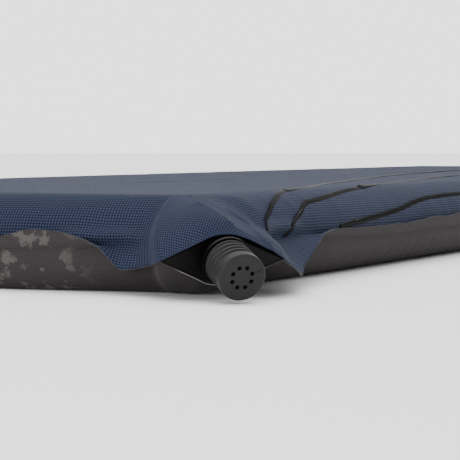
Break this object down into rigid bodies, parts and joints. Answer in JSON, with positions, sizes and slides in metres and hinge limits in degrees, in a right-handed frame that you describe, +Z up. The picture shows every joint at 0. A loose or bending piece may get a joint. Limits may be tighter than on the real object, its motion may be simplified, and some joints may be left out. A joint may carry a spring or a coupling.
{
  "type": "self-inflating camping air mattress",
  "caption": "Flat foam-cored camping mattress with welded rims and a ribbed twist valve at one corner.",
  "frame": {"origin": "centre of the flat underside of the bed, on the floor", "axes": "+Y along the length of the bed, +Z up through its thickness, valve on the +X -Y corner"},
  "size_m": [0.5669, 1.8869, 0.064],
  "materials": {
    "top_fabric": "matte",
    "bottom_fabric": "matte",
    "foam": "matte",
    "valve_body": "satin",
    "valve_cap": "satin",
    "seal": "matte",
    "screen": "matte"
  },
  "bodies": {
    "mattress": {"top_sheet": "top_fabric", "bottom_sheet": "bottom_fabric", "foam_core": "foam", "valve_boat": "valve_body", "valve_stem": "valve_body", "stem_plug": "valve_body", "plug_seal": "seal", "stop_clip": "valve_body", "filter_screen": "screen"},
    "washer": {"slide_washer": "valve_body"},
    "cap": {"valve_cap": "valve_cap", "cap_gasket": "seal"}
  },
  "joints": [
    {"name": "cap_lift", "type": "slide", "parent": "mattress", "child": "washer", "axis": [0.674, -0.674, -0.3024], "range_m": [0, 0.0025]},
    {"name": "cap_twist", "type": "hinge", "parent": "washer", "child": "cap", "pos_m": [0.27074, -0.93074, 0.027], "axis": [0.674, -0.674, -0.3024], "range_deg": [0, 180]}
  ],
  "couplings": [
    {"joint": "cap_lift", "follows": "cap_twist", "m_per_rad": 0.00079577}
  ]
}
